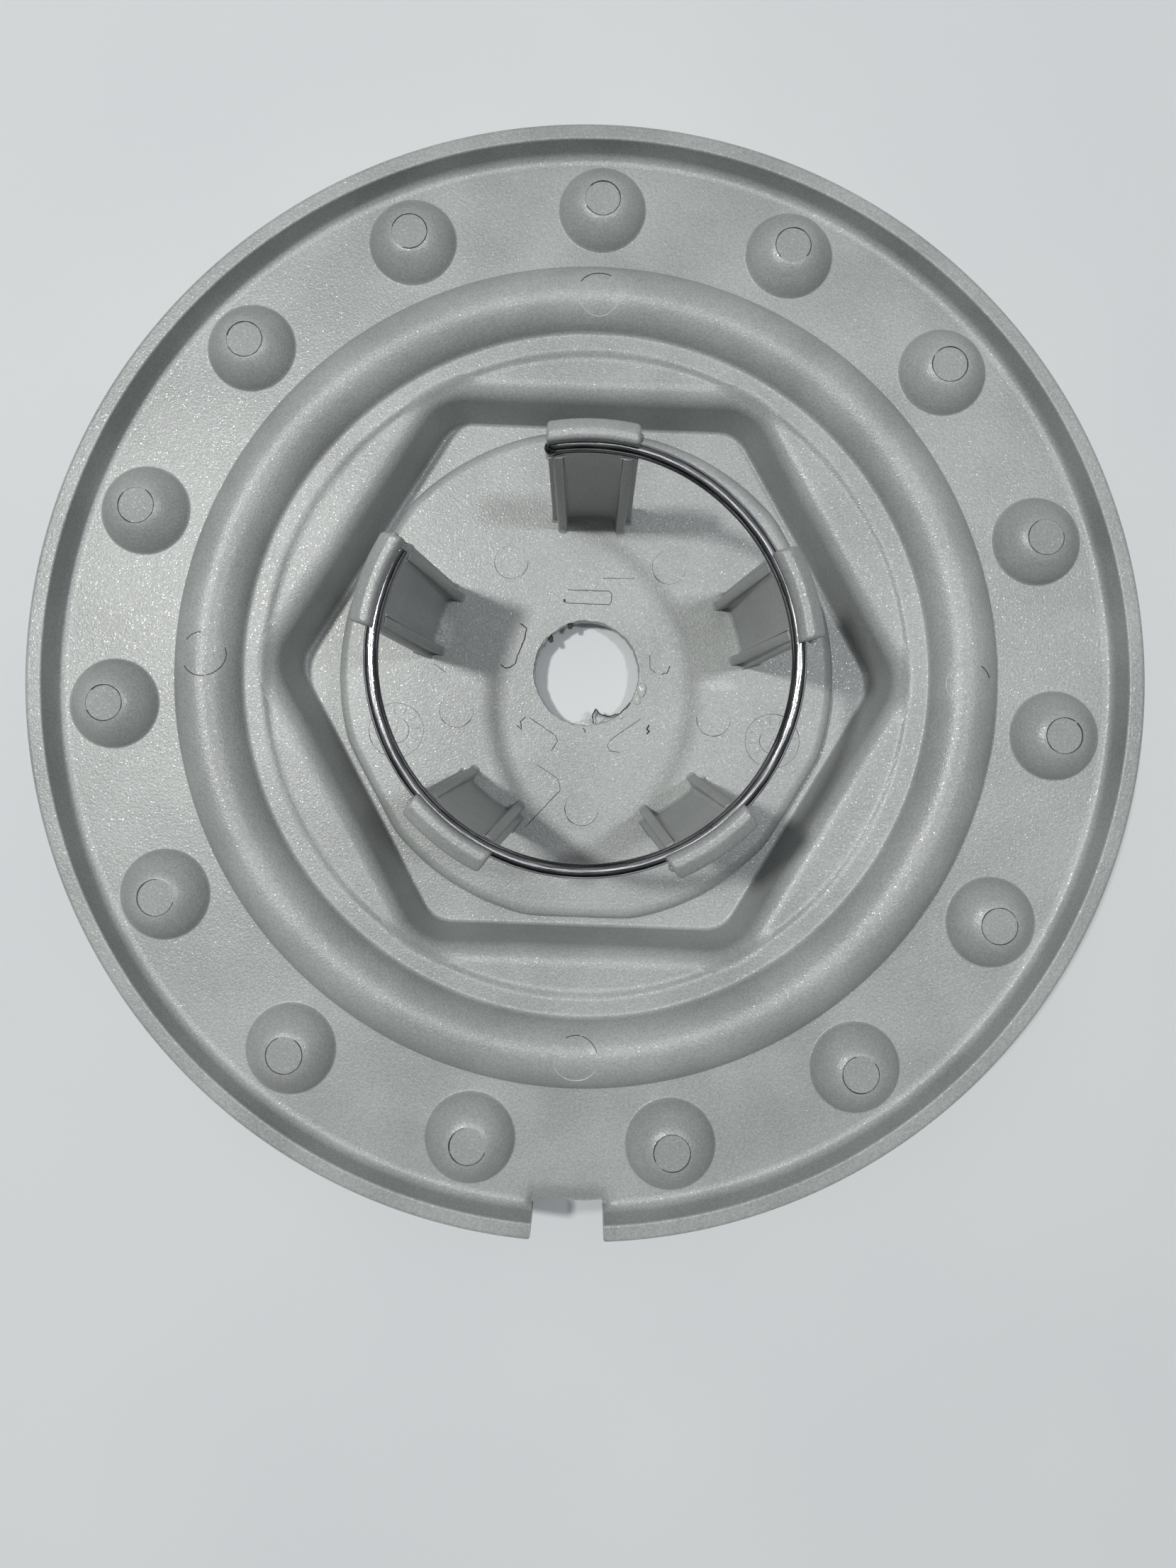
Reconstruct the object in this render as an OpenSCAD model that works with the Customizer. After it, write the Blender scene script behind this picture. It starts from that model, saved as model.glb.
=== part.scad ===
// Wheel centre cap, seen from behind: a moulded shell with a hexagonal pocket, a
// clip plate with five snap clips seated in that pocket, and a split wire ring.
// Z = 0 is the front face of the hexagonal boss. +Z points to the back of the cap.

/* [Cap shell] */
// Outside diameter of the rim
rim_d = 154; // [140:1:170]
// Wall of the moulded shell
wall = 2.5; // [1.8:0.1:3]
// Height of the back of the web above the front face of the boss
web_z = 12.2; // [9:0.1:16]
// Height of the rim lip above the web
lip_h = 4.1; // [2:0.1:7]
// Thickness of the rim lip at its top edge
lip_t = 2.3; // [1.6:0.1:3.5]
// Width of the notch in the rim
notch_w = 9.8; // [4:0.1:16]
// Depth of the notch, in from the outside of the rim
notch_depth = 3.9; // [3:0.1:6]

/* [Ridge] */
// Radius of the circle that the round ridge follows
ridge_r = 52.8; // [51:0.1:54]
// Radius of the round ridge in section
ridge_section_r = 4.85; // [4:0.05:5.5]
// Wall left over the groove in front of the ridge
ridge_wall = 2.45; // [1.8:0.05:2.8]
// Radius of the inner soft step
step_r = 45; // [43.5:0.1:46]
// Height of the land between step and ridge above the web
land_h = 1; // [0.4:0.1:1.5]
// Drop from that land to the land around the pocket
step_h = 0.5; // [0.2:0.1:0.8]

/* [Domes] */
// Number of domes on the web
dome_n = 15; // [9:1:17]
// Radius of the circle of domes
dome_circle_r = 66.3; // [65.5:0.1:67]
// Radius of a dome at its foot
dome_r = 6.2; // [4.5:0.1:6.6]
// Height of a dome above the web
dome_h = 4.6; // [3:0.1:5.5]
// Wall of a dome over the dimple in front
dome_wall = 2.3; // [1.8:0.1:3]

/* [Pocket] */
// Half width across flats of the pocket at its floor
pocket_a = 37.1; // [36.8:0.1:38]
// Corner radius of the pocket at its floor
pocket_corner_r = 5; // [3:0.5:7]
// How far each pocket wall leans out over its height
pocket_lean = 1.4; // [0.6:0.1:2]
// Radius of the rounded edge at the top of the pocket
pocket_edge_r = 2.2; // [1:0.1:2.6]

/* [Clip plate] */
// Radius of the clip plate
plate_r = 36.4; // [35.8:0.1:36.7]
// Half width across the small flats of the clip plate
plate_a = 35.7; // [34:0.1:36.5]
// Thickness of the clip plate
plate_t = 2.6; // [1.8:0.1:3.6]
// Radius of the rounded edge of the clip plate
plate_edge_r = 1.6; // [0.6:0.1:1.7]
// Thickness of the bonding line under the clip plate
seat_gap = 0.1; // [0.05:0.05:0.25]
// Diameter of the hole drilled through plate and floor
hole_d = 15.2; // [13:0.1:20]
// Thickness of the torn burr in the hole
burr_t = 0.5; // [0.3:0.1:0.8]
// Radius of the melted bead on the edge of the hole
bead_r = 1; // [0.6:0.1:1.3]

/* [Clips] */
// Number of clips
clip_n = 5; // [3:1:6]
// Width of a clip
clip_w = 11.4; // [9:0.2:14]
// Height of a clip above the plate
clip_h = 38.4; // [30:0.1:46]
// Inside radius of the clips at their feet
clip_foot_r = 23; // [21.5:0.1:24]
// Wall of a clip at its foot
clip_wall = 2.4; // [2.2:0.1:2.8]
// How far a clip leans out from its foot to the wire
clip_lean = 1.2; // [0.5:0.1:1.8]
// Width of the panel between the two ribs
panel_w = 7; // [5:0.2:8.6]
// Depth of the ribs at their feet
rib_depth = 2.1; // [1:0.1:3]
// How far the snap lip stands out from the clip
snap_out = 1.3; // [0.8:0.1:1.6]

/* [Ring] */
// Diameter of the spring wire
wire_d = 1.8; // [1.4:0.1:2]
// Distance of the wire below the top of the clips
wire_drop = 3.2; // [2.6:0.1:6]
// Clearance between wire and groove
wire_gap = 0.1; // [0.05:0.05:0.2]
// Angle at which the wire starts, inside the second clip
wire_start = 152; // [151:0.5:156]
// Length of the tail bent down at the other end of the wire
tail_l = 4; // [2:0.1:6]

/* [Ejector marks] */
// Diameter of the ejector marks on domes and plate
mark_d = 5; // [3:0.1:6]
// Diameter of the ejector marks on the ridge
ridge_mark_d = 6; // [4:0.1:7]
// Depth of the ejector marks
mark_depth = 0.12; // [0.05:0.01:0.3]
// Radius of the circle of marks on the plate
plate_mark_r = 19.8; // [18:0.1:20.2]

/* [Hidden] */
$fn = 96;
eps = 0.01;
rim_r = rim_d / 2;
web_front_z = web_z - wall;
rim_top_z = web_z + lip_h;
floor_z = wall;
plate_z = floor_z + seat_gap;
plate_top_z = plate_z + plate_t;
lip_draft = 0.65;
lip_round = 0.5;
front_round = 1.5;
dome_sphere_r = (dome_r * dome_r + dome_h * dome_h) / (2 * dome_h);
dome_centre_z = web_z + dome_h - dome_sphere_r;
dome_mark_z = dome_centre_z + sqrt(dome_sphere_r * dome_sphere_r - mark_d * mark_d / 4);
groove_r = ridge_section_r - ridge_wall;
land_z = web_z + land_h;
pocket_land_z = land_z - step_h;
wire_r = wire_d / 2;
wire_h = clip_h - wire_drop;
clip_top_r = clip_foot_r + clip_lean;
clip_round = 0.6;
lip_in = 0.65;
top_edge_in = 0.35;
nose_top = 1.8;
nose_low = 2.8;
nose_root = 4.2;
rib_w = (clip_w - panel_w) / 2;
rib_inner_w = rib_w * 0.64;
rib_step_depth = 0.6;
rib_gap = 0.35;
rib_top = wire_h - wire_r - rib_gap;
rib_top_in = 0.6;
rib_root = 0.8;
wire_inset = 0.8;
tail_inset = 0.85;
tail_room = 0.4;
ring_r = clip_top_r + wire_inset;
ring_z = plate_top_z + wire_h;
wire_end = 90 + ceil(10 * asin((clip_w / 2 - tail_inset) / ring_r)) / 10;
bead_sink = 0.2;
corner_swell = 0.05;

// Thin slice of a hexagon with round corners, flats facing +Y and -Y
module hex_slice(a, r, z) {
    for (i = [0:5])
        rotate([0, 0, i * 60])
            translate([(a - r) / cos(30), 0, z])
                cylinder(r = r, h = eps, $fn = 48);
}

// Frustum between two such slices
module hex_frustum(a0, r0, z0, a1, r1, z1) {
    hull() {
        hex_slice(a0, r0, z0);
        hex_slice(a1, r1, z1);
    }
}

// Space of the pocket: leaning walls, then a round edge in four steps
module pocket_space() {
    lean_z = pocket_land_z - pocket_edge_r;
    lean_a = pocket_a + pocket_lean;
    hex_frustum(pocket_a, pocket_corner_r, floor_z, lean_a, pocket_corner_r + pocket_lean, lean_z);
    for (k = [0:3]) {
        t0 = k * 22.5;
        t1 = t0 + 22.5;
        out0 = pocket_edge_r * (1 - cos(t0));
        out1 = pocket_edge_r * (1 - cos(t1));
        hex_frustum(lean_a + out0, pocket_corner_r + pocket_lean + out0, lean_z + pocket_edge_r * sin(t0),
            lean_a + out1, pocket_corner_r + pocket_lean + out1, lean_z + pocket_edge_r * sin(t1));
    }
    hex_frustum(lean_a + pocket_edge_r, pocket_corner_r + pocket_lean + pocket_edge_r, pocket_land_z,
        lean_a + pocket_edge_r, pocket_corner_r + pocket_lean + pocket_edge_r, pocket_land_z + 1);
}

// Boss that stands out in front, one wall outside the pocket
module boss() {
    out = pocket_a + wall;
    round_r = pocket_corner_r + wall;
    hull() {
        hex_slice(out - front_round, round_r - front_round, 0);
        hex_slice(out - front_round * 0.3, round_r - front_round * 0.3, front_round * 0.3);
        hex_slice(out, round_r, front_round);
        hex_slice(out + pocket_lean, round_r + pocket_lean, web_front_z + eps);
    }
}

// Web, land around the pocket and rim lip, as one turned section
module web_and_rim() {
    rotate_extrude()
        polygon([
            [0, web_front_z],
            [rim_r - front_round, web_front_z],
            [rim_r - front_round * 0.3, web_front_z + front_round * 0.3],
            [rim_r, web_front_z + front_round],
            [rim_r, rim_top_z - lip_round],
            [rim_r - lip_round, rim_top_z],
            [rim_r - lip_t + lip_round * 0.5, rim_top_z],
            [rim_r - lip_t, rim_top_z - lip_round * 0.5],
            [rim_r - lip_t - lip_draft, web_z],
            [ridge_r, web_z],
            [ridge_r, land_z],
            [step_r + step_h, land_z],
            [step_r, pocket_land_z],
            [0, pocket_land_z]
        ]);
}

module ridge() {
    rotate_extrude()
        intersection() {
            translate([ridge_r, web_z])
                circle(r = ridge_section_r);
            translate([ridge_r - ridge_section_r, web_front_z])
                square([2 * ridge_section_r, wall + ridge_section_r]);
        }
}

module ridge_groove() {
    rotate_extrude()
        translate([ridge_r, web_z])
            circle(r = groove_r);
    rotate_extrude()
        translate([ridge_r - groove_r, web_front_z - 1])
            square([2 * groove_r, wall + 1]);
}

// Four ejector marks that follow the round of the ridge
module ridge_marks() {
    difference() {
        for (i = [0:3])
            rotate([0, 0, i * 90])
                translate([ridge_r, 0, web_z + ridge_section_r / 2])
                    cylinder(d = ridge_mark_d, h = ridge_section_r);
        rotate_extrude()
            translate([ridge_r, web_z])
                circle(r = ridge_section_r - mark_depth);
    }
}

module at_domes() {
    for (i = [0:dome_n - 1])
        rotate([0, 0, 90 + i * 360 / dome_n])
            translate([dome_circle_r, 0, 0])
                children();
}

module dome() {
    intersection() {
        translate([0, 0, dome_centre_z])
            sphere(r = dome_sphere_r);
        translate([0, 0, web_z - wall / 2])
            cylinder(r = dome_sphere_r, h = wall + dome_h);
    }
}

module cap_shell() {
    color([0.63, 0.65, 0.64])
        difference() {
            union() {
                web_and_rim();
                ridge();
                boss();
                at_domes()
                    dome();
            }
            pocket_space();
            ridge_groove();
            at_domes() {
                translate([0, 0, dome_centre_z])
                    sphere(r = dome_sphere_r - dome_wall);
                translate([0, 0, dome_mark_z - mark_depth])
                    cylinder(d = mark_d, h = dome_h);
            }
            ridge_marks();
            translate([-notch_w / 2, -rim_r - 1, 0])
                cube([notch_w, notch_depth + 1, rim_top_z + 1]);
            translate([0, 0, -1])
                cylinder(d = hole_d, h = floor_z + 2);
        }
}

// Section of a clip's curved tongue: leaning wall, lip over the wire, snap outside
module tongue_section() {
    out_foot_r = clip_foot_r + clip_wall;
    out_top_r = clip_top_r + clip_wall;
    nose_r = out_top_r + snap_out;
    polygon([
        [clip_foot_r, -eps],
        [clip_top_r, wire_h - wire_r],
        [clip_top_r, wire_h],
        [clip_top_r + lip_in, wire_h],
        [clip_top_r + lip_in, clip_h - clip_round],
        [clip_top_r + lip_in + clip_round, clip_h],
        [out_top_r - top_edge_in, clip_h],
        [out_top_r + snap_out / 2, clip_h - nose_top / 2],
        [nose_r, clip_h - nose_top],
        [nose_r, clip_h - nose_low],
        [out_top_r, clip_h - nose_root],
        [out_top_r, wire_h - wire_r],
        [out_foot_r, -eps]
    ]);
}

// Side of a rib part: deep at the foot, almost level with the panel below the wire
module rib_side(depth, top_in) {
    polygon([
        [clip_foot_r - depth, -eps],
        [clip_top_r - top_in, rib_top],
        [clip_top_r + rib_root, rib_top],
        [clip_foot_r + rib_root, -eps]
    ]);
}

// One rib: a deep inner part beside the panel, then a shallow step at the clip's edge
module rib() {
    translate([0, panel_w / 2 + rib_inner_w, 0])
        rotate([90, 0, 0])
            linear_extrude(height = rib_inner_w)
                rib_side(rib_depth, rib_top_in);
    translate([0, clip_w / 2, 0])
        rotate([90, 0, 0])
            linear_extrude(height = rib_w - rib_inner_w)
                rib_side(rib_step_depth, rib_top_in / 2);
}

module clip() {
    intersection() {
        rotate_extrude()
            tongue_section();
        translate([0, -clip_w / 2, -1])
            cube([plate_r, clip_w, clip_h + 2]);
    }
    rib();
    mirror([0, 1, 0])
        rib();
}

// Torn flap that the drill left hanging at the lower edge of the hole
module drill_burr() {
    translate([0, -hole_d / 2, plate_z + plate_t / 3])
        linear_extrude(height = burr_t)
            polygon([
                [0.2, -0.4],
                [1, 1.5],
                [1.6, 2.3],
                [2.3, 1.7],
                [3.8, 1.6],
                [5, 2],
                [5.6, 2.2],
                [6.2, 1.6],
                [4, -0.4]
            ]);
}

// Plastic that the drill melted onto the right-hand edge of the hole
module melted_bead() {
    rotate([0, 0, -17])
        translate([hole_d / 2 + bead_sink, 0, plate_top_z - bead_sink])
            sphere(r = bead_r);
    rotate([0, 0, -25])
        translate([hole_d / 2 + bead_sink, 0, plate_top_z - bead_sink])
            sphere(r = bead_r * 0.7);
}

// Groove that the wire lies in, with a slot for the tail at the edge of the first clip
module wire_space() {
    translate([0, 0, ring_z]) {
        rotate_extrude()
            translate([ring_r, 0])
                circle(r = wire_r + wire_gap, $fn = 48);
        rotate([0, 0, wire_end])
            translate([ring_r, 0, -tail_l - tail_room])
                cylinder(r = wire_r + 2 * wire_gap, h = tail_l + tail_room, $fn = 48);
    }
}

module clip_plate() {
    color([0.60, 0.62, 0.61])
        difference() {
            union() {
                intersection() {
                    rotate_extrude()
                        union() {
                            translate([0, plate_z])
                                square([plate_r - plate_edge_r, plate_t]);
                            translate([0, plate_z])
                                square([plate_r, plate_t - plate_edge_r]);
                            translate([plate_r - plate_edge_r, plate_top_z - plate_edge_r])
                                circle(r = plate_edge_r);
                        }
                    translate([0, 0, plate_z])
                        cylinder(r = plate_a / cos(30), h = plate_t, $fn = 6);
                }
                for (i = [0:clip_n - 1])
                    rotate([0, 0, 90 + i * 360 / clip_n])
                        translate([0, 0, plate_top_z])
                            clip();
                melted_bead();
            }
            wire_space();
            translate([0, 0, plate_z - 1])
                cylinder(d = hole_d, h = plate_t + 2);
            for (i = [0:clip_n - 1])
                rotate([0, 0, 90 + (i + 0.5) * 360 / clip_n])
                    translate([plate_mark_r, 0, plate_top_z - mark_depth])
                        cylinder(d = mark_d, h = 2);
        }
    color([0.60, 0.62, 0.61])
        drill_burr();
}

// Split ring of round wire, its last end bent down at the edge of the first clip
module retaining_ring() {
    color([0.85, 0.86, 0.87]) {
        translate([0, 0, ring_z])
            rotate([0, 0, wire_start])
                rotate_extrude(angle = 360 + wire_end - wire_start)
                    translate([ring_r, 0])
                        circle(r = wire_r, $fn = 48);
        rotate([0, 0, wire_end])
            translate([ring_r, 0, ring_z]) {
                sphere(r = wire_r + corner_swell, $fn = 48);
                translate([0, 0, -tail_l])
                    cylinder(r = wire_r, h = tail_l, $fn = 48);
            }
    }
}

cap_shell();
clip_plate();
retaining_ring();
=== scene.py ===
import math
import bpy
import numpy as np
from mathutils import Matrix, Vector, noise
from mathutils.geometry import delaunay_2d_cdt


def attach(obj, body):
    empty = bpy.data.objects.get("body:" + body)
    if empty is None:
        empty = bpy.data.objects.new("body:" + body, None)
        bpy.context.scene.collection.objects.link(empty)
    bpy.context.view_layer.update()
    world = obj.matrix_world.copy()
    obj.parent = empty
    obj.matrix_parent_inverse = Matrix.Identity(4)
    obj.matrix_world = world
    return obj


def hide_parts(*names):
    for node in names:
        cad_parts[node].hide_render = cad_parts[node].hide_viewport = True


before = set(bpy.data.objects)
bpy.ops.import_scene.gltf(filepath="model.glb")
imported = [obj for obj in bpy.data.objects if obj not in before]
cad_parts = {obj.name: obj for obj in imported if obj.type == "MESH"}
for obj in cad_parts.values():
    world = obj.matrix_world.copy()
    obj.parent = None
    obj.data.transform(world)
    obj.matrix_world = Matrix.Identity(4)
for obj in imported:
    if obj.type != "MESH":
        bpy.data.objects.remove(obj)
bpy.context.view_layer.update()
print("frame loaded")


# small helpers: everything is built in millimetres and turned into metres once

def onCircle(radius, degrees):
    a = math.radians(degrees)
    return radius * math.cos(a), radius * math.sin(a)


def circlePoints(radius, count, centre=(0.0, 0.0)):
    a = np.arange(count) * 2 * math.pi / count
    return np.stack([centre[0] + radius * np.cos(a), centre[1] + radius * np.sin(a)], 1)


def arcLine(cx, cy, radius, fromDegrees, toDegrees, height, count=36):
    # height is a number, or a function of x and y
    a = np.radians(np.linspace(fromDegrees, toDegrees, count))
    spots = [(cx + radius * math.cos(t), cy + radius * math.sin(t)) for t in a]
    return [(x, y, height(x, y) if callable(height) else height) for x, y in spots]


def smoothStep(low, high, value):
    t = np.clip((np.asarray(value, float) - low) / (high - low), 0, 1)
    return t * t * (3 - 2 * t)


def wobble(x, y, z, scale, seed):
    return noise.noise(Vector((x * scale + seed, y * scale - seed, z * scale + 2 * seed)))


def band(first, second, count, turned=False):
    # quads between two rings of points
    pairs = [(k, (k + 1) % count) for k in range(count)]
    if turned:
        return [(first + k, first + m, second + m, second + k) for k, m in pairs]
    return [(first + k, second + k, second + m, first + m) for k, m in pairs]


def makePiece(name, parts, materials, sharpDegrees, weighted=True):
    # parts: list of (vertices in mm, faces, material index or one index per face)
    # points of a part that coincide become one, and faces left without area are dropped
    points, faces, slots = [], [], []
    for vertices, polygons, slot in parts:
        base, spots = len(points), {}
        index = [spots.setdefault(tuple(round(float(c), 4) for c in v), base + len(spots)) for v in vertices]
        points.extend([tuple(c * 0.001 for c in spot) for spot in spots])
        for k, polygon in enumerate(polygons):
            ring = [index[i] for i in polygon]
            ring = [a for a, b in zip(ring, ring[1:] + ring[:1]) if a != b]
            if len(ring) > 2 and len(set(ring)) == len(ring):
                faces.append(ring)
                slots.append(slot[k] if isinstance(slot, list) else slot)
    mesh = bpy.data.meshes.new(name)
    mesh.from_pydata(points, [], faces)
    for m in materials:
        mesh.materials.append(m)
    mesh.polygons.foreach_set("material_index", slots)
    mesh.validate()
    mesh.update()
    mesh.polygons.foreach_set("use_smooth", [True] * len(mesh.polygons))
    mesh.set_sharp_from_angle(angle=math.radians(sharpDegrees))
    piece = bpy.data.objects.new(name, mesh)
    bpy.context.scene.collection.objects.link(piece)
    if weighted:
        mod = piece.modifiers.new("faceWeights", "WEIGHTED_NORMAL")
        mod.keep_sharp = True
        mod.weight = 80
    return piece


def roundCorners(profile, steps=5):
    # profile: (across, height, cut) where cut is how far from that corner the round starts
    pts = np.array([p[:2] for p in profile], float)
    run = np.concatenate([[0], np.cumsum(np.hypot(*np.diff(pts, axis=0).T))])
    cuts = [(run[i], p[2], pts[i]) for i, p in enumerate(profile) if p[2] > 0]

    def at(s):
        return np.array([np.interp(s, run, pts[:, 0]), np.interp(s, run, pts[:, 1])])

    out = [(s, pts[i]) for i, s in enumerate(run) if all(abs(s - c[0]) >= c[1] for c in cuts)]
    for s0, cut, corner in cuts:
        a, b = at(s0 - cut), at(s0 + cut)
        for k in range(steps + 1):
            t = k / steps
            p = (1 - t) ** 2 * a + 2 * t * (1 - t) * corner + t * t * b
            out.append((s0 - cut + 2 * cut * t, p))
    out.sort(key=lambda q: q[0])
    kept = [out[0]]
    for q in out[1:]:
        if np.hypot(*(q[1] - kept[-1][1])) > 0.004:
            kept.append(q)
    return [tuple(q[1]) for q in kept]


def filled(line, steps=0, spacing=0.35):
    # more points between those of a drawn line: so many steps each, or one for each spacing
    pts = []
    for a, b in zip(np.array(line[:-1], float), np.array(line[1:], float)):
        count = steps or max(2, int(np.hypot(*(b - a)) / spacing))
        pts += [a + (b - a) * k / count for k in range(count)]
    return pts + [np.array(line[-1], float)]


def tube(path, radius, sides=6, keepsTurn=False):
    # radius: a number or one for each point; keepsTurn leads the sides evenly through a bend
    path = [Vector(p) for p in path]
    last = len(path) - 1
    radii = radius if hasattr(radius, "__len__") else [radius] * len(path)
    vertices, faces = [], []
    up = over = Vector((0, 0, 1))
    for i, p in enumerate(path):
        along = (path[min(i + 1, last)] - path[max(i - 1, 0)]).normalized()
        side = along.cross(over if keepsTurn else up)
        side = side.normalized() if side.length > 1e-6 else Vector((1, 0, 0))
        over = side.cross(along).normalized()
        for k in range(sides):
            a = 2 * math.pi * k / sides
            vertices.append(tuple(p + radii[i] * (math.cos(a) * side + math.sin(a) * over)))
    for i in range(last):
        faces += band(i * sides, (i + 1) * sides, sides)
    faces.append(tuple(range(sides)))
    faces.append(tuple(last * sides + k for k in range(sides - 1, -1, -1)))
    return vertices, faces


# shader maths

class Channel:
    # one output socket; sums, products, powers and comparisons with channels or numbers add Math nodes
    def __init__(self, paint, socket):
        self.paint = paint
        self.socket = socket

    def combine(self, operation, a, b):
        return self.paint.node("ShaderNodeMath", {"operation": operation}, {0: a, 1: b})

    def __add__(self, other):
        return self.combine("ADD", self, other)

    def __radd__(self, other):
        return self.combine("ADD", other, self)

    def __sub__(self, other):
        return self.combine("SUBTRACT", self, other)

    def __rsub__(self, other):
        return self.combine("SUBTRACT", other, self)

    def __mul__(self, other):
        return self.combine("MULTIPLY", self, other)

    def __rmul__(self, other):
        return self.combine("MULTIPLY", other, self)

    def __truediv__(self, other):
        return self.combine("DIVIDE", self, other)

    def __rtruediv__(self, other):
        return self.combine("DIVIDE", other, self)

    def __pow__(self, other):
        return self.combine("POWER", self, other)

    def __rpow__(self, other):
        return self.combine("POWER", other, self)

    def __gt__(self, other):
        return self.combine("GREATER_THAN", self, other)

    def atLeast(self, other):
        return self.combine("MAXIMUM", self, other)

    def ramp(self, low, high):
        return self.paint.node("ShaderNodeMapRange", {"clamp": True, "interpolation_type": "SMOOTHSTEP"},
                               {"Value": self, "From Min": low, "From Max": high}, "Result")


class Paint:
    # the nodes of a new material or world
    def __init__(self, owner, shader="Principled BSDF", space="Object"):
        owner.use_nodes = True
        self.owner = owner
        self.tree = owner.node_tree
        self.shader = self.tree.nodes[shader]
        self.place = self.node("ShaderNodeTexCoord", {}, {}, space)

    def feed(self, socket, value):
        if isinstance(value, Channel):
            self.tree.links.new(value.socket, socket)
        else:
            socket.default_value = value

    def node(self, kind, settings, values, output=0):
        made = self.tree.nodes.new(kind)
        for key, value in settings.items():
            if key == "stops":
                while len(made.color_ramp.elements) < len(value):
                    made.color_ramp.elements.new(0.5)
                for element, (position, colour) in zip(made.color_ramp.elements, value):
                    element.position = position
                    element.color = colour
            else:
                setattr(made, key, value)
        for key, value in values.items():
            self.feed(made.inputs[key], value)
        return Channel(self, made.outputs[output])

    def set(self, **sockets):
        for key, value in sockets.items():
            self.feed(self.shader.inputs[key.replace("_", " ")], value)

    def noise(self, size, detail=2.0, roughness=0.5, output="Fac"):
        # size is that of one blotch, in millimetres
        return self.node("ShaderNodeTexNoise", {}, {"Vector": self.place, "Scale": 1000 / size,
                                                    "Detail": detail, "Roughness": roughness}, output)

    def channels(self, kind, source):
        # the three channels of a colour or of a place
        split = self.node(kind, {}, {0: source})
        return [Channel(self, output) for output in split.socket.node.outputs]

    def axes(self):
        # x, y and z in millimetres
        return [channel * 1000 for channel in self.channels("ShaderNodeSeparateXYZ", self.place)]

    def mix(self, factor, a, b, blend="MIX"):
        # a and b are colours or channels of colour
        return self.node("ShaderNodeMix", {"data_type": "RGBA", "blend_type": blend},
                         {0: factor, 6: a, 7: b}, 2)

    def shaded(self, colour, level):
        return self.mix(1.0, colour, (level, level, level, 1), "MULTIPLY")

    def bump(self, height, distance, strength=1.0, normal=None):
        values = {"Height": height, "Distance": distance * 0.001, "Strength": strength}
        if normal is not None:
            values["Normal"] = normal
        return self.node("ShaderNodeBump", {}, values, "Normal")


def grey(red, green, blue):
    # a colour as it looks on screen, 0 to 255, turned into linear light
    return tuple((c / 255 / 12.92 if c < 10 else ((c / 255 + 0.055) / 1.055) ** 2.4)
                 for c in (red, green, blue)) + (1.0,)


plasticLook = {
    "lit": grey(172, 176, 175), "deep": grey(157, 161, 160), "fleck": grey(224, 227, 226),
    "stress": grey(205, 208, 206), "fleckSize": 0.13, "fleckShare": 0.07, "fleckBend": 0.0002,
    "speckle": 0.16, "grain": 0.3, "grainDepth": 0.06, "roughness": 0.37, "metal": 0.03,
}


def plasticMaterial(name, shade=1.0, dull=0.0, stressSpots=()):
    # moulded plastic with metal flecks; stressSpots: (x, y, half width, half height, how white)
    look = plasticLook
    p = Paint(bpy.data.materials.new(name))
    cloud = p.noise(14, 3)
    fine = p.noise(0.35, 2, 0.6)
    # flecks have an uneven shape, because their cells lie in a bent space
    bent = p.node("ShaderNodeVectorMath", {"operation": "MULTIPLY_ADD"},
                  {0: p.noise(0.2, 1, output="Color"), 1: [look["fleckBend"]] * 3, 2: p.place})
    cell = p.node("ShaderNodeTexVoronoi", {}, {"Vector": bent, "Scale": 1000 / look["fleckSize"]}, "Color")
    red, green, blue = p.channels("ShaderNodeSeparateColor", cell)
    base = p.mix(cloud.ramp(0.3, 0.7), look["deep"], look["lit"])
    speckle = fine.ramp(0.32, 0.68) * 0.6 + blue * 0.4
    base = p.mix(speckle, p.shaded(base, 1 - look["speckle"]), p.shaded(base, 1 + look["speckle"]))
    fleck = (red > 1 - look["fleckShare"]) * (0.1 + 0.9 * green * green)
    base = p.mix(fleck * 0.5, base, look["fleck"])
    x, y, z = p.axes()
    for cx, cy, rx, ry, amount in stressSpots:
        far = ((x - cx) / rx) ** 2 + ((y - cy) / ry) ** 2
        spot = (1 - far.ramp(0.0, 1.0)) * p.noise(0.45, 2).ramp(0.3, 0.62) * amount
        base = p.mix(spot, base, look["stress"])
    if shade != 1.0:
        base = p.shaded(base, shade)
    rough = look["roughness"] + dull + (cloud - 0.5) * 0.1 - fleck * 0.1
    grain = p.bump(p.noise(look["grain"], 2, 0.55), look["grainDepth"], 0.85)
    soft = p.bump(p.noise(5, 2), 0.05, 0.25, grain)
    p.set(Base_Color=base, Roughness=rough, Metallic=look["metal"] + fleck * 0.25, Normal=soft, IOR=1.5)
    return p.owner


def plainMaterial(name, colour, roughness, grainSize=0.2, depth=0.01):
    p = Paint(bpy.data.materials.new(name))
    mottle = p.noise(grainSize * 4, 3)
    p.set(Base_Color=p.mix(mottle.ramp(0.3, 0.7), p.shaded(colour, 0.84), colour),
          Roughness=roughness + (mottle - 0.5) * 0.12, Normal=p.bump(p.noise(grainSize, 2), depth, 0.5))
    return p.owner


shellPlastic = plasticMaterial("shellPlastic")
markPlastic = plasticMaterial("ejectorMark", 0.93, 0.22)
clipPlastic = plasticMaterial("clipPlastic", stressSpots=(
    (19.5, -1.2, 4.2, 1.0, 0.7), (20.8, 8.8, 0.9, 1.6, 0.3), (-21.3, 5.4, 2.2, 3.4, 0.75)))
# painted shade: a dark grey put on thin lines and small flakes where gaps, grooves and torn edges lie in
# shade
paintedShadeLine = plainMaterial("paintedShadeCrevice", grey(58, 60, 60), 0.7)
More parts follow.
